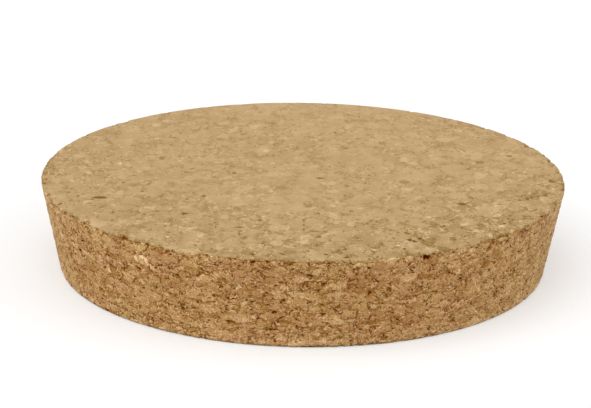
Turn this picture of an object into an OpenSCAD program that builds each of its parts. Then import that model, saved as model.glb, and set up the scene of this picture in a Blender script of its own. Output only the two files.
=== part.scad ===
// Tapered cork stopper for a wide-mouthed jar.
// One piece of pressed cork granules, cut from sheet and turned to a taper.
// The wide end is up and the narrow end rests on z = 0, centred on the z axis.

/* [Stopper] */
// Diameter of the wide end, where the wall would meet the top face
top_d = 115; // [60:0.5:200]
// Diameter of the narrow end, where the wall would meet the bottom face
bottom_d = 107; // [50:0.5:200]
// Thickness between the two flat faces
thickness = 20; // [8:0.5:60]

/* [Edges] */
// Radius of the sanded edge round the top face
top_edge_r = 0.5; // [0.1:0.1:3]
// Radius of the sanded edge round the bottom face
bottom_edge_r = 0.6; // [0.1:0.1:3]

/* [Hidden] */

cork_colour = [0.757, 0.635, 0.455];
top_r = top_d / 2;
bottom_r = bottom_d / 2;

// Lean of the wall away from the vertical, positive where the stopper widens upwards
wall_lean = atan2(top_r - bottom_r, thickness);

// Chords along each rounded edge, and facets round the turned body
edge_steps = 6;
turn_facets = 180;

// Radius of the untrimmed wall at a height
function wall_r(z) = bottom_r + (top_r - bottom_r) * z / thickness;

// Points of an arc, from one angle to another, about a centre in the (radius, height) plane
function arc(centre, r, from, to) = [
    for (i = [0 : edge_steps])
        let (a = from + (to - from) * i / edge_steps)
        centre + r * [cos(a), sin(a)]
];

// An edge arc's centre lies one edge radius from its face and from the wall
function edge_centre(z, r) = [wall_r(z) - r / cos(wall_lean), z];

// Half section of the stopper: the axis, the bottom face, the leaning wall and the top face
module half_section() {
    bottom_edge = arc(edge_centre(bottom_edge_r, bottom_edge_r), bottom_edge_r, -90, -wall_lean);
    top_edge = arc(edge_centre(thickness - top_edge_r, top_edge_r), top_edge_r, -wall_lean, 90);
    polygon(concat([[0, 0]], bottom_edge, top_edge, [[0, thickness]]));
}

// The whole stopper, turned from one block
module stopper() {
    color(cork_colour)
        rotate_extrude($fn = turn_facets)
            half_section();
}

stopper();
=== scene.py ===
"""Looks of a tapered cork stopper: pressed granules, sanded flat on top and ground rough round the wall."""

import math
from types import SimpleNamespace
from typing import NamedTuple

import bpy
import numpy as np
from mathutils import Matrix, Vector
from mathutils.bvhtree import BVHTree


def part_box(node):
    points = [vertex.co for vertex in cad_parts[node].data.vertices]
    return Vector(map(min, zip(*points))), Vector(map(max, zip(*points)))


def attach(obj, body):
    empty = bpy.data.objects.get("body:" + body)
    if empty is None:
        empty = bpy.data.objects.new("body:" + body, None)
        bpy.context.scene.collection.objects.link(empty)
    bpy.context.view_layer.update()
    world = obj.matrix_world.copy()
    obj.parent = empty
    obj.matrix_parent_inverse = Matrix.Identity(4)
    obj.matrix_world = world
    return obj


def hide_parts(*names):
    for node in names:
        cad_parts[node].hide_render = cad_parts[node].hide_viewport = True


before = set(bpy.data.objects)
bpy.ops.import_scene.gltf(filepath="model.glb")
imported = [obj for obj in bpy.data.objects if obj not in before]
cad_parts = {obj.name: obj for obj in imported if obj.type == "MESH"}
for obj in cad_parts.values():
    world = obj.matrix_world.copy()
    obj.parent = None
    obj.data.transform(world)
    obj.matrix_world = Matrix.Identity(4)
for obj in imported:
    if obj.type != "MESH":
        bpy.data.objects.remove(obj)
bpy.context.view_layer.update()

MM = 0.001
NODE = "stopper"

# The photograph's frame in pixels, and the lens and place of its camera
IMAGE_SIZE = (591, 408)
FOCAL_PX = 2406
SENSOR_MM = 36
LOOK_DOWN_DEG = 18.26
ROLL_DEG = 0.84
# Where the middle of the top face lies from the camera: right, up and away
TOP_CENTRE_FROM_CAMERA = (1.67 * MM, 6.73 * MM, 529.5 * MM)
NEAREST_SEEN = 10 * MM

# Reading the CAD outline: what counts as on the axis, how finely rows are told apart, as digits of a metre,
# the place inside the section that the rows are sorted round, as shares of its width and height,
# and the share of the height within which a row lies on a face
ON_AXIS = 0.01 * MM
ROW_DIGITS = 6
INSIDE = (0.8, 0.5)
LEVEL_SHARE = 1e-4
OUTLINE_SAMPLES = 40001

# Points round the wall, and the spacing of the skin's points on the wall and in the middle of the two faces
WALL_COLUMNS = 960
WALL_STEP = 0.37 * MM
TOP_STEP = 0.6 * MM
BOTTOM_STEP = 1.5 * MM
# How fast the spacing on a face grows away from its rim, and the fewest points in a ring
STEP_GROWTH = 0.07
FEWEST_IN_RING = 6

# Where past a rim the edge crumbles most, and how far that reaches
RIM_MIDDLE = 0.4 * MM
RIM_REACH = 0.8 * MM
# How far in from a rim the sanded face is worn open, how much so everywhere,
# and how much more towards the front and the front's right
WORN_REACH = 30 * MM
WORN_ALL, WORN_FRONT, WORN_FRONT_RIGHT = 0.4, 0.55, 1.0
# How far from the bottom edge and the rim's back the relief is shallower, and the share missing at the edge
FIRM_REACH = 1.6 * MM
FIRMNESS = 0.7

# Parts of the range from 0 to 1 that a noise takes up: all but the ends, most of it and the middle
ALL_NOISE, MOST_NOISE, MIDDLE_NOISE = (0.2, 0.8), (0.25, 0.75), (0.3, 0.7)
# The middle of a noise or of a random number
MEAN = 0.5
# Half way from a face to the wall, or down the side of a pit
HALF_WAY = 0.5

# From here to the marks, sizes are in millimetres.

# Sorts of granule from whole ones to loose flakes: width, how far the sort stands out, how boldly
# its light and dark ones show on the sanded faces, and how busy the sort is inside on the wall
GRANULES = ((3.6, 0.3, 0.5, 0.75), (1.9, 0.2, 1.0, 1.0), (1.0, 0.12, 1.2, 1.2), (0.55, 0.04, 0.8, 1.3))
# The width above which granules have open borders
SMALLEST_OUTLINED = 1.5
# How unevenly granules of one sort stand out, and how much wider than high the pressing leaves them
UNEVENNESS = 0.8
FLATNESS = 2.3
# Granules lie flat, so the sanded faces cut them wider than the wall does:
# how much across, front to back and up, with an alpha that isn't used
FACE_WIDENING, WALL_WIDENING = (1.2, 1.6, 1.2, 1.0), (1.0, 1.0, 1.0, 1.0)
# Widths over which granules are bent out of shape, and how far
STRAYING = ((2.6, 2.0), (0.8, 0.9), (0.3, 0.25))
# How much finer the layers inside a granule are across than along, and the fibres beside the layers
LAYER_FLATNESS, FIBRE_FLATNESS = 3.0, 1.6

# Sizes of the noises: wide clouds, mottles of a few granules, and crumbs, streaks and fibres inside them
CLOUD_SIZE, MOTTLE_SIZE, CRUMB_SIZE, STREAK_SIZE, FIBRE_SIZE = 6.0, 3.2, 0.45, 0.9, 0.6
# How rough the crumbs' and streaks' noise is
FINE_ROUGHNESS = 0.6
# Size of the rough places, and the part of their noise between smooth and rough
ROUGH_SIZE, ROUGH_NOISE = 1.6, (0.36, 0.66)

# Slits at the granules' borders: width in smooth and in rough places, the share of it that is fully open,
# and how rough a place is where slits begin and where they are whole
SLIT_WIDTHS, SLIT_CORE, SLIT_ROUGHNESS = (0.05, 0.28), 0.5, (0.25, 0.6)
# Heights among the granules between which a gap starts and is at its deepest, darkened as painted shade
GAP_HEIGHTS = (0.2, -0.05)
# Spacing of the specks, some of them pits and some pale bits, and of the strokes along the layers
SPECK, STROKE = 0.85, 0.9
# Least and greatest radius of a speck as a share of the spacing, and the share of the radius that is full
SPECK_RADII, SPECK_CORE = (0.18, 0.5), 0.7
# Random numbers below which a speck is dark and above which it is pale, in smooth and in rough places,
# and the share of the dark ones that the faces keep
DARK_BELOW, PALE_ABOVE, FACE_DARK_SHARE = (0.08, 0.4), (0.9, 0.78), 0.6
# Torn edges: the size of their bits, and how far they stray
TEAR_SIZE, TEAR_REACH = 1.0, 0.5
# Chips lost from the rims: spacing, how far they reach into a face, their depth and how far they stray,
# then least and greatest radius as a share of the spacing, the share of the radius that is full,
# and the share of the chips that are lost
CHIP, CHIP_REACH, CHIP_DEPTH, CHIP_STRAY = 2.8, 1.5, 0.22, 1.6
CHIP_RADII, CHIP_CORE, CHIP_ODDS = (0.25, 0.6), 0.6, 0.5
# How far past the edge the sanded face gives way to ground cork, and how far past it the wall is upright
GROUND_START, UPRIGHT_START = (0.35, 0.6), (0.3, 1.0)

# Depths of the relief: low granules on the wall, slits, pits, gaps in the faces, and granules lost at a rim
LOW_DEPTH, SLIT_DEPTH, PIT_DEPTH, FACE_DEPTH, LOST_DEPTH = 0.2, 0.15, 0.2, 0.12, 0.2
# Heights among the granules from which the wall's low ones and the rim's lost ones go down to their depth
LOW_HEIGHTS, LOST_HEIGHTS = (0.8, 0.0), (0.35, 0.0)
# Bumps too fine for the mesh, and how much of them shows on the faces and on the wall
BUMPS = {"height": 0.15, "slit": -0.12, "pit": -0.2, "bit": 0.1, "crumb": 0.1}
BUMP_STRENGTHS = (0.1, 0.8)


class Mark(NamedTuple):
    """A mark seen in the photograph, with its sizes in millimetres and its lightness beside the cork's."""

    name: str
    pixel: tuple
    width: float
    height: float
    shade: float
    depth: float = 0.0


PATCHES = (
    Mark("palest wall flake, its left end", (136, 258), 0.9, 1.4, 1.7),
    Mark("palest wall flake, its upper edge", (141, 257), 2.0, 0.9, 1.9),
    Mark("palest wall flake, its right edge", (146, 261), 1.0, 1.5, 1.9),
    Mark("palest wall flake, its lower end", (147, 264), 0.9, 0.9, 1.8),
    Mark("palest wall flake, its inner layer", (141, 261), 1.3, 1.0, 1.3),
    Mark("rim granule, smooth", (108, 241), 3.8, 2.2, 1.15),
    Mark("wall patch, pale", (240, 319), 3.6, 2.2, 1.3),
    Mark("wall grain, pale", (109, 270), 1.4, 1.0, 1.7),
    Mark("wall grain, pale", (239, 287), 1.6, 0.9, 1.8),
    Mark("wall grain, pale", (458, 272), 1.6, 1.2, 1.55),
    Mark("wall grain, pale", (323, 341), 1.6, 1.6, 1.4),
    Mark("wall grain, pale", (290, 301), 1.0, 1.2, 1.4),
    Mark("wall granule, reddish", (486, 264), 2.6, 2.2, 0.68),
    Mark("wall granule, brown", (374, 322), 3.4, 1.4, 0.7),
    Mark("wall granule, brown", (370, 293), 1.8, 2.0, 0.75),
    Mark("wall granule, brown", (285, 322), 3.0, 1.0, 0.75),
    Mark("wall granule, brown", (150, 272), 2.4, 1.4, 0.8),
    Mark("top spot, pale", (266, 151), 1.4, 1.8, 1.28),
    Mark("top spot, pale", (273, 163), 1.2, 1.6, 1.22),
    Mark("top spot, pale", (234, 182), 1.2, 1.6, 1.22),
    Mark("top spot, pale", (351, 224), 1.8, 3.0, 1.25),
    Mark("top spot, pale", (277, 243), 2.6, 3.4, 1.2),
    Mark("top granule, dark", (282, 188), 2.2, 2.6, 0.8),
    Mark("top granule, dark", (404, 182), 2.4, 2.6, 0.75),
    Mark("top granule, dark", (290, 252), 2.6, 2.4, 0.75),
)
# Dark marks, each sunk as a hollow of its depth; their darkness is painted shade over the hollow cut in the
# relief
PITS = (
    Mark("rim gap, left", (126, 240), 3.4, 0.8, 0.7, 0.5),
    Mark("rim notch, far left", (72, 215), 1.4, 0.7, 0.5, 0.4),
    Mark("rim pit, right", (427, 258), 1.6, 0.9, 0.25, 0.8),
    Mark("rim nick", (253, 263), 0.9, 0.6, 0.3, 0.4),
    Mark("rim nick", (268, 262), 0.8, 0.6, 0.3, 0.4),
    Mark("rim nick", (234, 259), 1.8, 0.5, 0.4, 0.4),
    Mark("wall pit by the palest flake", (133, 253), 0.7, 0.7, 0.35, 0.5),
    Mark("wall pit", (73, 242), 1.0, 0.9, 0.4, 0.4),
    Mark("wall pit", (80, 251), 0.9, 0.8, 0.25, 0.5),
    Mark("wall pit", (122, 275), 0.8, 0.7, 0.35, 0.4),
    Mark("wall pit", (138, 269), 1.0, 0.6, 0.35, 0.5),
    Mark("wall pit", (221, 287), 0.8, 0.5, 0.35, 0.4),
    Mark("wall pit", (246, 287), 0.6, 0.5, 0.4, 0.4),
    Mark("wall pit", (280, 283), 1.1, 0.5, 0.35, 0.4),
    Mark("wall pit", (321, 275), 0.6, 0.5, 0.3, 0.4),
    Mark("wall pit", (275, 313), 1.3, 0.6, 0.25, 0.6),
    Mark("wall pit", (289, 297), 0.8, 0.5, 0.3, 0.5),
    Mark("wall pit", (284, 301), 0.8, 0.7, 0.35, 0.5),
    Mark("wall pit", (323, 315), 0.9, 0.6, 0.35, 0.4),
    Mark("wall pit", (370, 293), 0.8, 1.0, 0.4, 0.4),
    Mark("wall pit", (414, 273), 0.8, 0.5, 0.35, 0.4),
    Mark("wall pit", (461, 279), 0.9, 0.7, 0.35, 0.4),
    Mark("wall pit", (490, 271), 0.7, 0.9, 0.4, 0.5),
    Mark("wall pit", (495, 263), 0.7, 0.6, 0.4, 0.4),
    Mark("wall streak by the pale patch", (230, 322), 1.6, 0.5, 0.45, 0.5),
    Mark("wall streak", (272, 330), 2.4, 0.5, 0.4, 0.4),
    Mark("wall streak", (374, 327), 2.8, 0.5, 0.45, 0.4),
    Mark("top streak", (100, 197), 3.2, 1.8, 0.5, 0.2),
    Mark("top speck", (162, 158), 1.3, 2.0, 0.65, 0.2),
    Mark("top speck", (144, 214), 0.8, 1.2, 0.55, 0.2),
    Mark("top speck, in the darkest group", (410, 239), 1.0, 1.4, 0.4, 0.3),
    Mark("top speck, in the darkest group", (415, 241), 1.1, 1.2, 0.4, 0.3),
    Mark("top speck, in the darkest group", (420, 238), 0.9, 1.2, 0.5, 0.3),
    Mark("top speck", (346, 257), 1.0, 1.2, 0.5, 0.2),
    Mark("top speck", (326, 254), 1.0, 1.0, 0.45, 0.2),
    Mark("top speck", (442, 226), 1.0, 1.6, 0.55, 0.2),
    Mark("top speck", (480, 162), 2.0, 2.6, 0.7, 0.1),
    Mark("top speck", (509, 156), 1.5, 1.8, 0.65, 0.1),
    Mark("top speck", (552, 181), 1.6, 2.0, 0.55, 0.2),
    Mark("top speck", (321, 178), 1.8, 1.2, 0.55, 0.1),
    Mark("top speck", (346, 148), 1.2, 1.2, 0.65, 0.1),
    Mark("top speck", (304, 220), 1.0, 1.2, 0.6, 0.1),
    Mark("top speck", (347, 186), 1.0, 1.2, 0.6, 0.1),
    Mark("top speck", (204, 196), 0.9, 1.6, 0.5, 0.1),
    Mark("top speck", (234, 173), 1.0, 1.4, 0.62, 0.1),
    Mark("top speck", (309, 206), 1.5, 2.4, 0.82, 0.1),
    Mark("top dash", (238, 227), 3.0, 1.0, 0.72, 0.1),
    Mark("top dash", (314, 231), 2.2, 1.2, 0.68, 0.1),
    Mark("top dash", (462, 204), 1.8, 1.4, 0.58, 0.1),
    Mark("top dash", (89, 203), 1.6, 1.0, 0.6, 0.1),
    Mark("top dash", (184, 213), 1.4, 1.6, 0.62, 0.1),
    Mark("top speck", (142, 191), 0.7, 1.2, 0.6, 0.1),
    Mark("top speck", (68, 192), 1.0, 1.2, 0.65, 0.1),
)
# Size in millimetres of the ragged bits at a mark's edge, how far they stray, and how soft the edge is
RAGGED_SIZE, RAGGED_REACH, MARK_SOFTNESS = 0.6, 0.2, 0.1
# In millimetres, how thick a mark is at least, how wide a pit's sloping side is,
# and the furthest from a mark's edge that is told apart
MARK_THICKNESS, PIT_SLOPE, FURTHEST = 1.0, 0.4, 2.0
# How far up a surface faces that counts as lying
LYING = 0.7

# Places on the flat sheet that the skin is unfolded to: the two discs' middles and radii, and the strips
TOP_DISC = (0.315, 0.685, 0.31)
BOTTOM_DISC = (0.815, 0.685, 0.17)
STRIP_COUNT, STRIP_LEFT, STRIP_LOW, STRIP_PITCH = 2, 0.01, 0.012, 0.183
STRIP_WIDTH, STRIP_HEIGHT = 0.98, 0.173

# How much each feature changes the lightness of the ground wall and of the sanded faces
# Of these, deep, slit and pit darken the gaps, the open borders and the pits: painted shade in those
# hollows
WALL_SHOWS = SimpleNamespace(
    tone=0.12,
    odd=0.17,
    cloud=0.06,
    crumb=0.4,
    streak=0.17,
    fibre=0.34,
    pit=0.56,
    bit=0.5,
    dark_stroke=0.53,
    pale_stroke=0.5,
    deep=0.33,
    slit=0.52,
)
FACE_SHOWS = SimpleNamespace(
    tone=0.04,
    odd=0.16,
    cloud=0.04,
    mottle=0.07,
    streak=0.04,
    pit=0.34,
    bit=0.17,
    deep=0.2,
    slit=0.14,
    worn=0.03,
    back_paleness=0.05,
)
# The part of the streaks' noise between dark and pale streaks on the wall
STREAK_NOISE = (0.35, 0.65)
# The value of the wear field, reached towards the back of the top, at which a face is palest, the range of
# wear from the faintest to the strongest features, and how strong they are at its two ends
UNWORN, WORN_RANGE, WORN_CONTRAST = -0.1, (-0.3, 1.0), (0.55, 1.8)
# Painted light low on the wall, against the shade near the floor: its height in millimetres, and how much
# paler
FOOT_HEIGHT, FOOT_PAINTED_LIGHT = 7.0, 0.11
# Pale granules below a rim: where they fade in and out in millimetres, which mottles they are,
# and how much paler
BROW, BROW_MOTTLES, BROW_LIGHT = (2.6, 0.6), (0.48, 0.6), 0.22
# Along a rim: heights of the gaps and their painted shade, and of the granules and how pale they are
RIM_GAP_HEIGHTS, RIM_GAP_SHADE = (0.4, 0.15), 0.3
RIM_GRANULE_HEIGHTS, RIM_GRANULE_LIGHT = (0.5, 0.8), 0.18
# How dark the faces' chips are, as painted shade, and how much of the wall's colour shows in them
CHIP_SHADE, CHIP_RAWNESS = 0.3, 0.3
# How much calmer the grain is inside a pale or brown patch
PATCH_CALM = 0.6
# The palest that cork gets outside the marks, so that its red stays under full
PALEST = 1.65

# Colours of the sanded faces and of the ground wall as a picture stores them, from 0 to 1, with alpha
FACE_LEVELS = (0.729, 0.6035, 0.4165, 1.0)
WALL_LEVELS = (0.803, 0.603, 0.379, 1.0)
DARKEST_LEVELS = (0.02, 0.02, 0.02)
PICTURE_GAMMA = 2.2
# A usual red level, and how the steps to darker and to paler cork in green and in blue compare with red's
RED_LEVEL = 0.8
FACE_STEPS = (1.03, 1.13)
DARK_WALL_STEPS = (1.09, 1.29)
PALE_WALL_STEPS = (1.14, 1.16)
# How far the green and the blue level stray from pinkish to yellowish granules
GREEN_STRAY, BLUE_STRAY = 0.025, -0.02
# How much of that goes from granule to granule, how much in wide clouds, and the share that the faces have
HUE_OF_GRANULES, HUE_OF_CLOUDS, FACE_HUE_SHARE = 0.25, 1.7, 0.15
# Roughness of smooth and of crumbly places, and the gloss of cork from dark to pale
ROUGHNESSES = (0.6, 0.8)
GLOSS_SHADES, GLOSSES = (0.35, 0.85), (0.05, 0.3)
# The ground wall's fuzz of torn cork, which pales it where it is seen from the side, but not in dark places
FUZZ_SHARE = 0.35
FUZZ_COLOUR = (0.65, 0.65, 0.3, 1.0)
FUZZ_SHADES = (0.4, 0.95)

# The floor: half its width, its colour, its glow to the camera,
# and a hair below the bottom face, so that neither shows through the other
FLOOR_HALF = 4.0
FLOOR_COLOUR = (0.6, 0.6, 0.6, 1.0)
FLOOR_GLOW = 0.42
FLOOR_GAP = 0.02 * MM
# The light from all round, and how bright its source shows
SKY_LIGHT, SKY_WHITE = 0.55, 1.0
# The lamps: name, strength, spread in degrees, and the way the light goes
LAMPS = (
    ("key", 1.0, 60, (0.4, 0.45, -1.0)),
    ("overhead", 0.7, 80, (-0.1, 0.1, -1.0)),
    ("left fill", 0.55, 60, (1.0, 0.2, -0.3)),
    ("right fill", 0.63, 60, (-1.0, 0.2, -0.3)),
)


def add_object(name, data):
    """A new object in the scene."""
    made = bpy.data.objects.new(name, data)
    bpy.context.scene.collection.objects.link(made)
    return made


def make_camera():
    """The photograph's camera, with its axes as the columns of a turn matrix."""
    down, roll = math.radians(LOOK_DOWN_DEG), math.radians(ROLL_DEG)
    ahead = Vector((0, math.cos(down), -math.sin(down)))
    level_up = Vector((0, math.sin(down), math.cos(down)))
    level_right = Vector((1, 0, 0))
    right = math.cos(roll) * level_right + math.sin(roll) * level_up
    up = -math.sin(roll) * level_right + math.cos(roll) * level_up
    data = bpy.data.cameras.new("camera")
    data.sensor_width = SENSOR_MM
    data.lens = FOCAL_PX / IMAGE_SIZE[0] * SENSOR_MM
    data.clip_start = NEAREST_SEEN
    camera = add_object("camera", data)
    top_centre = Vector((0, 0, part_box(NODE)[1].z))
    to_right, to_up, away = TOP_CENTRE_FROM_CAMERA
    place = top_centre - to_right * right - to_up * up - away * ahead
    turn = Matrix((right, up, -ahead)).transposed()
    camera.matrix_world = Matrix.Translation(place) @ turn.to_4x4()
    bpy.context.scene.camera = camera
    return camera


def half_section(node):
    """The node's outline as (radius, height) rows, from the bottom's middle to the top's middle."""
    corners = np.array([v.co for v in node.data.vertices])
    outline = np.c_[np.hypot(corners[:, 0], corners[:, 1]), corners[:, 2]]
    outline = np.unique(np.round(outline, ROW_DIGITS), axis=0)
    outline = outline[outline[:, 0] > ON_AXIS]
    inside = outline.max(axis=0) * INSIDE
    angle = np.arctan2(outline[:, 1] - inside[1], outline[:, 0] - inside[0])
    outline = outline[np.argsort(angle)]
    return np.vstack([[0, outline[0, 1]], outline, [0, outline[-1, 1]]])


class Skin:
    """Rings of points laid on the stopper's outline, the fine mesh that the relief is cut into."""

    def __init__(self, outline):
        run = np.r_[0, np.cumsum(np.hypot(*np.diff(outline, axis=0).T))]
        height = outline[:, 1].max()
        level = height * LEVEL_SHARE
        low_rim = run[outline[:, 1] <= level].max()
        high_rim = run[outline[:, 1] >= height - level].min()
        self.rims = (low_rim, high_rim)
        dense = np.linspace(0, run[-1], OUTLINE_SAMPLES)
        step = self.steps(dense)
        count = np.r_[0, np.cumsum((1 / step[1:] + 1 / step[:-1]) / 2 * np.diff(dense))]
        self.run = np.interp(np.linspace(0, count[-1], int(count[-1]) + 1), count, dense)
        self.radius = np.interp(self.run, run, outline[:, 0])
        self.height = np.interp(self.run, run, outline[:, 1])
        around = self.ring_counts(np.interp(self.run, dense, step))
        self.first = np.r_[0, np.cumsum(around)]
        self.ring = np.repeat(np.arange(len(around)), around)
        self.turn = np.concatenate([np.arange(n) / n for n in around]) * 2 * np.pi

    def on_wall(self, run):
        """Whether places along the outline lie on the wall, rims included."""
        low_rim, high_rim = self.rims
        return (run >= low_rim) & (run <= high_rim)

    def steps(self, run):
        """The spacing of points at places along the outline, which grows on the faces away from a rim."""
        low_rim, high_rim = self.rims
        to_rim = np.minimum(np.abs(run - low_rim), np.abs(run - high_rim))
        most = np.where(run < low_rim, BOTTOM_STEP, TOP_STEP)
        on_face = np.minimum(WALL_STEP + STEP_GROWTH * to_rim, most)
        return np.where(self.on_wall(run), WALL_STEP, on_face)

    def ring_counts(self, step):
        """How many points each ring has, for the spacing there. The first and last ring are one point."""
        count = np.round(2 * np.pi * self.radius / step).astype(int)
        count = np.where(self.on_wall(self.run), WALL_COLUMNS, np.clip(count, 1, WALL_COLUMNS))
        count[1:-1] = np.maximum(count[1:-1], FEWEST_IN_RING)
        return count

    def points(self):
        radius = self.radius[self.ring]
        return np.c_[radius * np.cos(self.turn), radius * np.sin(self.turn), self.height[self.ring]]

    def past_edge(self):
        """Millimetres from the nearer rim, more than 0 on the wall and less on the faces."""
        low_rim, high_rim = self.rims
        return np.minimum(self.run - low_rim, high_rim - self.run)[self.ring] / MM

    def near(self, rim, reach):
        """1 at this rim, falling off over this reach."""
        return np.exp(-(((self.run - rim) / reach) ** 2))[self.ring]

    def crumbling(self):
        """1 a little past either rim, where the edge crumbles most, and less away from there."""
        away = (self.past_edge() * MM - RIM_MIDDLE) / RIM_REACH
        return np.exp(-(away**2))

    def worn(self):
        """How far the top is worn open, most at the front rim and to its right."""
        out = (self.radius / self.radius.max())[self.ring]
        right, front = out * np.cos(self.turn), -out * np.sin(self.turn)
        amount = WORN_ALL + WORN_FRONT * front + WORN_FRONT_RIGHT * right * np.maximum(front, 0)
        low, high = (self.near(rim, WORN_REACH) for rim in self.rims)
        return np.maximum(low, high) * amount

    def firm(self):
        """The share of the relief that is cut, less towards the bottom edge and the back of the top one."""
        low, high = (self.near(rim, FIRM_REACH) for rim in self.rims)
        return 1 - FIRMNESS * np.maximum(low, high * np.clip(np.sin(self.turn), 0, 1))

    def faces(self):
        """Triangles between each ring and the next, facing outwards."""
        made = []
        for ring in range(len(self.run) - 1):
            lower = np.arange(self.first[ring], self.first[ring + 1])
            upper = np.arange(self.first[ring + 1], self.first[ring + 2])
            made += stitch(lower.tolist(), upper.tolist())
        return made

    def unfold(self, triangles):
        """A place on the flat sheet for each corner: the faces as discs and the wall in strips."""
        corners = np.array(triangles)
        run, turn = self.run[self.ring[corners]], self.turn[corners]
        closing = np.ptp(turn, axis=1) > np.pi
        turn = np.where(closing[:, None] & (turn < np.pi), turn + 2 * np.pi, turn)
        low_rim, high_rim = self.rims
        along = turn * STRIP_COUNT / (2 * np.pi)
        strip = np.floor(along.mean(axis=1))[:, None]
        upward = (run - low_rim) / (high_rim - low_rim)
        across = STRIP_LEFT + STRIP_WIDTH * (along - strip)
        sheet = np.stack([across, STRIP_LOW + STRIP_PITCH * strip + STRIP_HEIGHT * upward], axis=2)
        radius = self.radius[self.ring[corners]] / self.radius.max()
        middle = run.mean(axis=1)
        for chosen, disc, hand in ((middle > high_rim, TOP_DISC, 1), (middle < low_rim, BOTTOM_DISC, -1)):
            disc_u = disc[0] + hand * disc[2] * radius * np.cos(turn)
            disc_v = disc[1] + disc[2] * radius * np.sin(turn)
            sheet[chosen] = np.stack([disc_u, disc_v], axis=2)[chosen]
        return sheet


def stitch(lower, upper):
    """Triangles between two rings of point numbers, each in order round the axis from angle 0."""
    below, above = len(lower), len(upper)
    made, a, b = [], 0, 0
    while a < below * (below > 1) or b < above * (above > 1):
        on_lower = below > 1 and a < below and (
            above == 1 or b == above or (2 * a + 1) * above <= (2 * b + 1) * below
        )
        if on_lower:
            made.append((lower[a], lower[(a + 1) % below], upper[b % above]))
            a += 1
        else:
            made.append((lower[a % below], upper[(b + 1) % above], upper[b % above]))
            b += 1
    return made


class Marks:
    """Places of marks on the stopper, read through the photograph's camera."""

    def __init__(self, camera, node, places):
        self.tree = BVHTree.FromObject(node, bpy.context.evaluated_depsgraph_get())
        self.camera = camera.matrix_world
        self.places = places

    def seen_at(self, pixel):
        """The point of the stopper that a pixel shows, and the way the surface faces there."""
        across = (pixel[0] - IMAGE_SIZE[0] / 2) / FOCAL_PX
        down = (pixel[1] - IMAGE_SIZE[1] / 2) / FOCAL_PX
        ray = self.camera.to_3x3() @ Vector((across, -down, -1.0))
        place, facing, _, _ = self.tree.ray_cast(self.camera.translation, ray)
        return place, facing

    def inside(self, mark):
        """Millimetres that each point of the skin lies inside a mark's edge, less than 0 outside."""
        place, facing = self.seen_at(mark.pixel)
        along = Vector((1, 0, 0)) if facing.z > LYING else Vector((-place.y, place.x, 0)).normalized()
        upward = facing.cross(along)
        halves = np.array((mark.width, mark.height, max(mark.height, MARK_THICKNESS))) / 2
        away = (self.places - np.array(place)) / MM @ np.array((along, upward, facing)).T / halves
        return (1 - np.linalg.norm(away, axis=1)) * halves.min()

    def nearest(self, marks):
        """How far each point lies inside the nearest of these marks, with that mark's shade and depth."""
        inside = np.array([self.inside(mark) for mark in marks])
        chosen = inside.argmax(axis=0)
        shade = np.array([mark.shade for mark in marks])[chosen]
        depth = np.array([mark.depth for mark in marks])[chosen]
        return np.clip(inside.max(axis=0), -FURTHEST, FURTHEST), shade, depth


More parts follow.
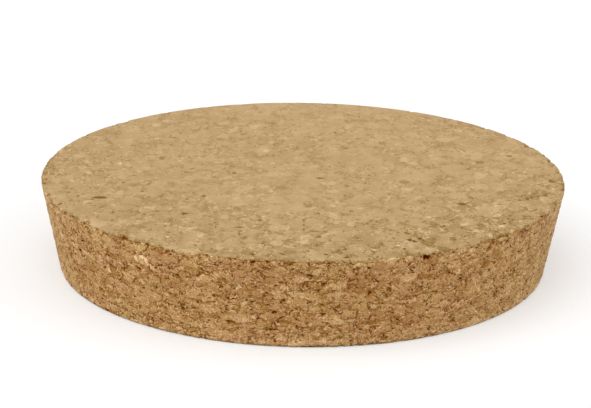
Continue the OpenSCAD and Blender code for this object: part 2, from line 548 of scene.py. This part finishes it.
class Net:
    """Adds nodes to a tree. What goes into a socket is a number, a tuple or another node's socket."""

    def __init__(self, tree):
        self.tree = tree

    def node(self, kind, inputs=None, **settings):
        node = self.tree.nodes.new(kind)
        for name, value in settings.items():
            setattr(node, name, value)
        for name, value in (inputs or {}).items():
            self.feed(node.inputs[name], value)
        return node

    def feed(self, socket, value):
        if isinstance(value, bpy.types.NodeSocket):
            self.tree.links.new(value, socket)
        else:
            socket.default_value = value

    def math(self, operation, *values):
        inputs = dict(enumerate(values))
        return self.node("ShaderNodeMath", inputs, operation=operation).outputs[0]

    def add(self, *values):
        total = values[0]
        for value in values[1:]:
            total = self.math("ADD", total, value)
        return total

    def times(self, *values):
        total = values[0]
        for value in values[1:]:
            total = self.math("MULTIPLY", total, value)
        return total

    def less(self, first, second):
        return self.math("SUBTRACT", first, second)

    def dimmed(self, share, amount):
        """1 where share is 0, and less by amount where it is 1."""
        return self.less(1.0, self.times(share, amount))

    def brightened(self, share, amount):
        """1 where share is 0, and more by amount where it is 1."""
        return self.add(1.0, self.times(share, amount))

    def vector(self, operation, *values):
        inputs = dict(enumerate(values))
        return self.node("ShaderNodeVectorMath", inputs, operation=operation).outputs[0]

    def scaled(self, vector, scale):
        inputs = {"Vector": vector, "Scale": scale}
        return self.node("ShaderNodeVectorMath", inputs, operation="SCALE").outputs[0]

    def span(self, value, low, high, to_low=0.0, to_high=1.0):
        """to_low where value is low, to_high where it is high, and a smooth step between."""
        inputs = {"Value": value, "From Min": low, "From Max": high, "To Min": to_low, "To Max": to_high}
        return self.node("ShaderNodeMapRange", inputs, interpolation_type="SMOOTHSTEP").outputs[0]

    def line(self, value, low, high, to_low, to_high):
        """As span, on a straight line."""
        inputs = {"Value": value, "From Min": low, "From Max": high, "To Min": to_low, "To Max": to_high}
        return self.node("ShaderNodeMapRange", inputs, interpolation_type="LINEAR").outputs[0]

    def swing(self, value, low, high, amount):
        """Less than 1 by amount where value is low, and more than 1 by as much where it is high."""
        return self.line(value, low, high, 1 - amount, 1 + amount)

    def noise(self, place, size, detail=2.0, roughness=0.5):
        """A noise node whose features are about this size, in the units of place."""
        inputs = {"Vector": place, "Scale": 1 / size, "Detail": detail, "Roughness": roughness}
        return self.node("ShaderNodeTexNoise", inputs)

    def cells(self, place, size, feature="F1"):
        """A node of random cells about this far apart."""
        inputs = {"Vector": place, "Scale": 1 / size, "Randomness": 1.0}
        return self.node("ShaderNodeTexVoronoi", inputs, feature=feature)

    def parts(self, colour):
        return self.node("ShaderNodeSeparateXYZ", {"Vector": colour}).outputs

    def blend(self, share, first, second):
        """A number that goes from first to second."""
        inputs = {"Factor": share, "A": first, "B": second}
        return self.node("ShaderNodeMix", inputs, data_type="FLOAT").outputs["Result"]

    def colour(self, share, first, second):
        """A colour that goes from first to second."""
        node = self.node("ShaderNodeMix", data_type="RGBA")
        sockets = {socket.identifier: socket for socket in node.inputs}
        for name, value in (("Factor_Float", share), ("A_Color", first), ("B_Color", second)):
            self.feed(sockets[name], value)
        return next(socket for socket in node.outputs if socket.identifier == "Result_Color")


def empty_net(owner):
    """A net for the node tree of a material or a world, with nothing in it yet."""
    owner.use_nodes = True
    owner.node_tree.nodes.clear()
    return Net(owner.node_tree)


def spots(net, place, spacing, radii, core):
    """Round spots of random sizes: 1 inside them and 0 outside, with a random number for each."""
    cell = net.cells(place, spacing)
    odds, size, _ = net.parts(cell.outputs["Color"])
    away = net.math("DIVIDE", cell.outputs["Distance"], net.line(size, 0, 1, *radii))
    return net.span(away, 1.0, core), odds


def torn_rims(net, rest, edge):
    """Where chips are lost, and where ground cork shows instead of a sanded face."""
    torn = net.noise(rest, TEAR_SIZE, detail=3)
    strayed = net.vector("ADD", rest, net.scaled(torn.outputs["Color"], CHIP_STRAY))
    inside, odds = spots(net, strayed, CHIP, CHIP_RADII, CHIP_CORE)
    chip = net.times(inside, net.math("LESS_THAN", odds, CHIP_ODDS))
    strays = net.line(torn.outputs["Fac"], *MOST_NOISE, -TEAR_REACH, TEAR_REACH)
    strays = net.add(strays, net.times(chip, CHIP_REACH))
    return chip, net.span(net.add(edge, strays), *GROUND_START)


def bent_place(net, place):
    """The place with random shifts of several sizes, which bend the granules out of shape."""
    bent = place
    for size, reach in STRAYING:
        shift = net.vector("SUBTRACT", net.noise(place, size).outputs["Color"], (MEAN, MEAN, MEAN))
        bent = net.vector("ADD", bent, net.scaled(shift, reach))
    return bent


def heaped(net, pressed):
    """The granule that shows: its height, distance from its border, boldness, busyness and random look.

    Each sort of granule is a heap of domes at random heights. At each place the highest dome shows.
    """
    height, outline, bold, busy, look = -1.0, 1.0, 1.0, 1.0, (0.0, 0.0, 0.0, 1.0)
    for size, lift, boldness, busyness in GRANULES:
        cell = net.cells(pressed, size)
        own_look = cell.outputs["Color"]
        own_lift = net.add(net.times(net.parts(own_look)[1], UNEVENNESS), lift)
        own_height = net.less(own_lift, cell.outputs["Distance"])
        own_outline = 1.0
        if size > SMALLEST_OUTLINED:
            border = net.cells(pressed, size, "DISTANCE_TO_EDGE")
            own_outline = net.times(border.outputs["Distance"], size)
        shows = net.math("GREATER_THAN", own_height, height)
        height = net.math("MAXIMUM", own_height, height)
        outline = net.blend(shows, outline, own_outline)
        bold = net.blend(shows, bold, boldness)
        busy = net.blend(shows, busy, busyness)
        look = net.colour(shows, look, own_look)
    return height, outline, bold, busy, look


def specks(net, place, spacing, rough, wall):
    """Loose dark and pale specks, more of them in rough places."""
    inside, odds = spots(net, place, spacing, SPECK_RADII, SPECK_CORE)
    dark_below = net.times(net.line(rough, 0, 1, *DARK_BELOW), net.blend(wall, FACE_DARK_SHARE, 1.0))
    is_dark = net.math("LESS_THAN", odds, dark_below)
    is_pale = net.math("GREATER_THAN", odds, net.line(rough, 0, 1, *PALE_ABOVE))
    return net.times(inside, is_dark), net.times(inside, is_pale)


def slits(net, outline, rough):
    """Open borders of the granules, in rough places alone: 1 where fully open."""
    width = net.line(rough, 0, 1, *SLIT_WIDTHS)
    opened = net.span(net.math("DIVIDE", outline, width), 1.0, SLIT_CORE)
    return net.times(opened, net.span(rough, *SLIT_ROUGHNESS))


def layers(net, bent, look):
    """The place along and across a granule's layers, which lie another way in each granule."""
    any_turn = {"Vector": bent, "Rotation": net.scaled(look, 2 * math.pi)}
    turned = net.node("ShaderNodeVectorRotate", any_turn, rotation_type="EULER_XYZ").outputs[0]
    return net.vector("MULTIPLY", turned, (1.0, 1.0, LAYER_FLATNESS))


def cork(net, rest, edge):
    """The pressed granules as fields of the rest place in millimetres, alike in relief and in colour."""
    chip, wall = torn_rims(net, rest, edge)
    on_wall = net.math("GREATER_THAN", wall, HALF_WAY)
    place = net.vector("DIVIDE", rest, net.colour(on_wall, FACE_WIDENING, WALL_WIDENING))
    bent = bent_place(net, place)
    pressed = net.vector("MULTIPLY", bent, (1.0, 1.0, FLATNESS))
    height, outline, bold, busy, look = heaped(net, pressed)
    tone, _, hue = net.parts(look)
    tone = net.line(tone, 0, 1, -1, 1)
    rough = net.span(net.noise(place, ROUGH_SIZE, detail=3).outputs["Fac"], *ROUGH_NOISE)
    layered = layers(net, bent, look)
    fibrous = net.vector("MULTIPLY", layered, (1.0, 1.0, FIBRE_FLATNESS))
    pit, bit = specks(net, pressed, SPECK, rough, wall)
    dark_stroke, pale_stroke = specks(net, layered, STROKE, rough, wall)
    return SimpleNamespace(
        wall=wall,
        chip=chip,
        height=height,
        # deep marks the gaps where granules lie low: cut into the faces, and darkened as painted shade
        deep=net.span(height, *GAP_HEIGHTS),
        slit=slits(net, outline, rough),
        bold=bold,
        busy=busy,
        tone=tone,
        odd=net.times(tone, tone, tone),
        hue=hue,
        pit=pit,
        bit=bit,
        dark_stroke=dark_stroke,
        pale_stroke=pale_stroke,
        cloud=net.noise(rest, CLOUD_SIZE).outputs["Fac"],
        mottle=net.noise(pressed, MOTTLE_SIZE).outputs["Fac"],
        ragged=net.noise(rest, RAGGED_SIZE).outputs["Fac"],
        crumb=net.noise(pressed, CRUMB_SIZE, detail=3, roughness=FINE_ROUGHNESS).outputs["Fac"],
        streak=net.noise(layered, STREAK_SIZE, roughness=FINE_ROUGHNESS).outputs["Fac"],
        fibre=net.noise(fibrous, FIBRE_SIZE, detail=1).outputs["Fac"],
    )


def relief(net, rest, edge, rim):
    """Depth of the relief in millimetres below the turned shape."""
    field = cork(net, rest, edge)
    wall_depth = net.add(
        net.span(field.height, *LOW_HEIGHTS, 0.0, LOW_DEPTH),
        net.times(field.slit, SLIT_DEPTH),
        net.times(field.pit, PIT_DEPTH),
    )
    face_depth = net.times(field.deep, FACE_DEPTH)
    lost = net.span(field.height, *LOST_HEIGHTS, 0.0, LOST_DEPTH)
    lost = net.add(lost, net.times(field.chip, CHIP_DEPTH))
    return net.add(net.blend(field.wall, face_depth, wall_depth), net.times(rim, lost))


def named(net, name, kind="FLOAT"):
    """A mesh attribute, in a geometry tree."""
    node = net.node("GeometryNodeInputNamedAttribute", data_type=kind)
    node.inputs["Name"].default_value = name
    return node.outputs["Attribute"]


def carve(piece):
    """Cuts the granule relief into the skin and keeps the result as a plain mesh."""
    tree = bpy.data.node_groups.new("cork_relief", "GeometryNodeTree")
    tree.interface.new_socket("Geometry", in_out="INPUT", socket_type="NodeSocketGeometry")
    tree.interface.new_socket("Geometry", in_out="OUTPUT", socket_type="NodeSocketGeometry")
    net = Net(tree)
    source = net.node("NodeGroupInput")
    target = net.node("NodeGroupOutput")
    rest = net.scaled(named(net, "rest", "FLOAT_VECTOR"), 1 / MM)
    depth = relief(net, rest, named(net, "edge"), named(net, "rim"))
    depth = net.add(net.times(depth, named(net, "firm")), named(net, "hollow"))
    normal = net.node("GeometryNodeInputNormal").outputs["Normal"]
    offset = net.scaled(normal, net.times(depth, -MM))
    placed = net.node("GeometryNodeSetPosition", {"Geometry": source.outputs[0], "Offset": offset})
    tree.links.new(placed.outputs[0], target.inputs[0])
    modifier = piece.modifiers.new("relief", "NODES")
    modifier.node_group = tree
    graph = bpy.context.evaluated_depsgraph_get()
    carved = bpy.data.meshes.new_from_object(
        piece.evaluated_get(graph), preserve_all_data_layers=True, depsgraph=graph
    )
    piece.modifiers.clear()
    piece.data = carved
    bpy.data.node_groups.remove(tree)


def wall_shade(net, field):
    """Light and dark of the ground wall, about 1."""
    shows = WALL_SHOWS
    within_granules = net.times(
        net.swing(field.crumb, *ALL_NOISE, shows.crumb),
        net.span(field.streak, *STREAK_NOISE, 1 - shows.streak, 1 + shows.streak),
        net.swing(field.fibre, *MIDDLE_NOISE, shows.fibre),
        # Painted shade in the pits that the relief cuts
        net.dimmed(field.pit, shows.pit),
        net.brightened(field.bit, shows.bit),
        net.dimmed(field.dark_stroke, shows.dark_stroke),
        net.brightened(field.pale_stroke, shows.pale_stroke),
    )
    return net.times(
        net.swing(field.tone, -1, 1, shows.tone),
        net.swing(field.odd, -1, 1, shows.odd),
        net.swing(field.cloud, *MOST_NOISE, shows.cloud),
        net.math("POWER", within_granules, field.busy),
        # Painted shade in the gaps where granules lie low and in their open borders
        net.dimmed(field.deep, shows.deep),
        net.dimmed(field.slit, shows.slit),
    )


def face_shade(net, field, worn):
    """Light and dark of the sanded faces, about 1, and stronger where they are worn open."""
    shows = FACE_SHOWS
    shade = net.times(
        net.swing(net.times(field.tone, field.bold), -1, 1, shows.tone),
        net.swing(net.times(field.odd, field.bold), -1, 1, shows.odd),
        net.swing(field.cloud, *MOST_NOISE, shows.cloud),
        net.swing(field.mottle, *MOST_NOISE, shows.mottle),
        net.swing(field.streak, *ALL_NOISE, shows.streak),
        # Painted shade in the gaps, the open borders and the pits
        net.dimmed(field.deep, shows.deep),
        net.dimmed(field.slit, shows.slit),
        net.dimmed(field.pit, shows.pit),
        net.brightened(field.bit, shows.bit),
        # A little darker where the wear field is high, at the front, and paler towards the back of the top
        net.dimmed(worn, shows.worn),
        net.line(worn, UNWORN, 0.0, 1 + shows.back_paleness, 1.0),
    )
    return net.math("POWER", shade, net.line(worn, *WORN_RANGE, *WORN_CONTRAST))


def attribute(net, name):
    """A mesh attribute, in a shader tree."""
    return net.node("ShaderNodeAttribute", attribute_name=name).outputs


def marked(net, field, kind):
    """Where the marks of one kind are, and what they multiply the cork's lightness by."""
    stray = net.line(field.ragged, *MOST_NOISE, -RAGGED_REACH, RAGGED_REACH)
    inside = net.add(attribute(net, kind + "_inside")["Fac"], stray)
    inside = net.span(inside, -MARK_SOFTNESS, MARK_SOFTNESS)
    return inside, net.math("POWER", attribute(net, kind + "_shade")["Fac"], inside)


def zones(net, field, rest, edge):
    """Parts of the stopper with their own lightness or colour, each from 0 to 1, painted shade and light
    among them.
    """
    rim = attribute(net, "rim")["Fac"]
    upright = net.span(edge, *UPRIGHT_START)
    raw = net.span(net.add(edge, net.times(field.chip, CHIP_REACH)), *UPRIGHT_START)
    return SimpleNamespace(
        upright=upright,
        raw=raw,
        # chipped: chips in the faces, darkened as painted shade in their hollows
        chipped=net.times(raw, net.less(1.0, upright)),
        # Painted light: the wall made paler towards the bottom, lifting the shade near the floor
        foot_painted_light=net.times(field.wall, net.span(net.parts(rest)[2], FOOT_HEIGHT, 0.0)),
        brow=net.times(field.wall, net.span(edge, *BROW), net.span(field.mottle, *BROW_MOTTLES)),
        # rim_gap: low granules along a rim, darkened as painted shade in the gaps
        rim_gap=net.times(rim, net.span(field.height, *RIM_GAP_HEIGHTS)),
        rim_granule=net.times(rim, net.span(field.height, *RIM_GRANULE_HEIGHTS)),
    )


def cork_shade(net, field, zone):
    """The cork's lightness beside its usual one, with the marks that the photograph shows."""
    in_patch, patch_shade = marked(net, field, "patch")
    # The pit marks' darkness is painted shade in their hollows
    _, pit_shade = marked(net, field, "pit")
    worn = attribute(net, "worn")["Fac"]
    grain = net.blend(field.wall, face_shade(net, field, worn), wall_shade(net, field))
    unmarked = net.times(
        net.math("POWER", grain, net.dimmed(in_patch, PATCH_CALM)),
        # Painted shade in the faces' chips
        net.dimmed(zone.chipped, CHIP_SHADE),
        # Painted light low on the wall
        net.brightened(zone.foot_painted_light, FOOT_PAINTED_LIGHT),
        net.brightened(zone.brow, BROW_LIGHT),
        # Painted shade in the gaps along the rims
        net.dimmed(zone.rim_gap, RIM_GAP_SHADE),
        net.brightened(zone.rim_granule, RIM_GRANULE_LIGHT),
    )
    return net.times(net.math("MINIMUM", unmarked, PALEST), patch_shade, pit_shade)


def cork_levels(net, field, zone, shade):
    """The cork's colour as a picture stores it: the usual levels, and a step to lighter or darker cork."""
    red_step = net.times(net.less(net.math("POWER", shade, 1 / PICTURE_GAMMA), 1.0), RED_LEVEL)
    is_pale = net.math("GREATER_THAN", red_step, 0.0)
    green_share, blue_share = (
        net.blend(field.wall, on_face, net.blend(is_pale, dark, pale))
        for on_face, dark, pale in zip(FACE_STEPS, DARK_WALL_STEPS, PALE_WALL_STEPS)
    )
    yellowness = net.add(
        net.times(net.less(field.hue, MEAN), HUE_OF_GRANULES),
        net.times(net.less(field.cloud, MEAN), HUE_OF_CLOUDS),
    )
    yellowness = net.times(yellowness, net.blend(field.wall, FACE_HUE_SHARE, 1.0))
    steps = {
        "X": red_step,
        "Y": net.add(net.times(red_step, green_share), net.times(yellowness, GREEN_STRAY)),
        "Z": net.add(net.times(red_step, blue_share), net.times(yellowness, BLUE_STRAY)),
    }
    usual = net.colour(net.blend(CHIP_RAWNESS, zone.upright, zone.raw), FACE_LEVELS, WALL_LEVELS)
    levels = net.vector("ADD", usual, net.node("ShaderNodeCombineXYZ", steps).outputs[0])
    return net.vector("MAXIMUM", levels, DARKEST_LEVELS)


def cork_bump(net, field):
    """The way the surface faces, with the bumps that are too fine for the mesh."""
    height = net.add(*(net.times(getattr(field, name), size) for name, size in BUMPS.items()))
    inputs = {"Height": height, "Strength": net.blend(field.wall, *BUMP_STRENGTHS), "Distance": MM}
    return net.node("ShaderNodeBump", inputs).outputs["Normal"]


def cork_material():
    """Pressed cork, coloured by the same fields that its relief is cut from."""
    material = bpy.data.materials.new("pressed_cork")
    net = empty_net(material)
    rest = net.scaled(attribute(net, "rest")["Vector"], 1 / MM)
    edge = attribute(net, "edge")["Fac"]
    field = cork(net, rest, edge)
    zone = zones(net, field, rest, edge)
    shade = cork_shade(net, field, zone)
    levels = cork_levels(net, field, zone, shade)
    shader = net.node("ShaderNodeBsdfPrincipled", {
        "Base Color": net.node("ShaderNodeGamma", {"Color": levels, "Gamma": PICTURE_GAMMA}).outputs[0],
        "Roughness": net.span(field.crumb, *ALL_NOISE, *ROUGHNESSES),
        "Specular IOR Level": net.span(shade, *GLOSS_SHADES, *GLOSSES),
        "Sheen Weight": net.times(zone.upright, net.span(shade, *FUZZ_SHADES), FUZZ_SHARE),
        "Sheen Tint": FUZZ_COLOUR,
        "Normal": cork_bump(net, field),
    })
    net.node("ShaderNodeOutputMaterial", {"Surface": shader.outputs[0]})
    return material


def skin_mesh(skin):
    """The skin as a mesh, with the flat sheet that it unfolds to."""
    mesh = bpy.data.meshes.new("cork_stopper")
    triangles = skin.faces()
    mesh.from_pydata(skin.points().tolist(), [], triangles)
    sheet = mesh.uv_layers.new(name="OFBake")
    sheet.data.foreach_set("uv", skin.unfold(triangles).astype(np.float32).ravel())
    mesh.shade_smooth()
    return mesh


def keep_fields(mesh, skin, marks):
    """Stores on the mesh's points what the relief and the material read."""
    in_patch, patch_shade, _ = marks.nearest(PATCHES)
    in_pit, pit_shade, pit_depth = marks.nearest(PITS)
    fields = {
        "edge": skin.past_edge(),
        "rim": skin.crumbling(),
        "worn": skin.worn(),
        "firm": skin.firm(),
        "patch_inside": in_patch,
        "patch_shade": patch_shade,
        "pit_inside": in_pit,
        "pit_shade": pit_shade,
        "hollow": pit_depth * np.clip(in_pit / PIT_SLOPE + HALF_WAY, 0, 1),
    }
    for name, values in fields.items():
        mesh.attributes.new(name, "FLOAT", "POINT").data.foreach_set("value", values.astype(np.float32))
    rest = mesh.attributes.new("rest", "FLOAT_VECTOR", "POINT")
    rest.data.foreach_set("vector", skin.points().astype(np.float32).ravel())


def make_stopper(camera):
    """The stopper in a fine skin of its own, in place of the CAD solid."""
    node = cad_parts[NODE]
    skin = Skin(half_section(node))
    mesh = skin_mesh(skin)
    keep_fields(mesh, skin, Marks(camera, node, skin.points()))
    piece = add_object("cork_stopper", mesh)
    carve(piece)
    piece.data.materials.append(cork_material())
    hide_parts(NODE)
    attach(piece, "root")


def seen_share(net):
    """1 for the camera's own rays and reflections, and 0 for light that falls on the stopper."""
    rays = net.node("ShaderNodeLightPath").outputs
    return net.math("MAXIMUM", rays["Is Camera Ray"], rays["Is Glossy Ray"])


def make_floor():
    """A pale floor that glows up to white for the camera alone, and so keeps the stopper's shadow."""
    half, low = FLOOR_HALF, -FLOOR_GAP
    corners = [(-half, -half, low), (half, -half, low), (half, half, low), (-half, half, low)]
    mesh = bpy.data.meshes.new("floor")
    mesh.from_pydata(corners, [], [(0, 1, 2, 3)])
    material = bpy.data.materials.new("pale_floor")
    net = empty_net(material)
    diffuse = net.node("ShaderNodeBsdfDiffuse", {"Color": FLOOR_COLOUR})
    glow = net.node("ShaderNodeEmission", {"Strength": net.times(seen_share(net), FLOOR_GLOW)})
    both = net.node("ShaderNodeAddShader", {0: diffuse.outputs[0], 1: glow.outputs[0]})
    net.node("ShaderNodeOutputMaterial", {"Surface": both.outputs[0]})
    mesh.materials.append(material)
    floor = add_object("floor", mesh)


def make_light():
    """A soft studio: light from all round that shows as white, and wide lamps."""
    world = bpy.data.worlds.new("studio")
    bpy.context.scene.world = world
    net = empty_net(world)
    sky = net.blend(seen_share(net), SKY_LIGHT, SKY_WHITE)
    background = net.node("ShaderNodeBackground", {"Strength": sky})
    net.node("ShaderNodeOutputWorld", {"Surface": background.outputs[0]})
    for name, strength, spread, towards in LAMPS:
        data = bpy.data.lights.new(name, "SUN")
        data.energy = strength
        data.angle = math.radians(spread)
        lamp = add_object(name, data)
        lamp.rotation_mode = "QUATERNION"
        lamp.rotation_quaternion = Vector(towards).to_track_quat("-Z", "Y")


bpy.context.scene.view_settings.view_transform = "Standard"
make_stopper(make_camera())
make_floor()
make_light()
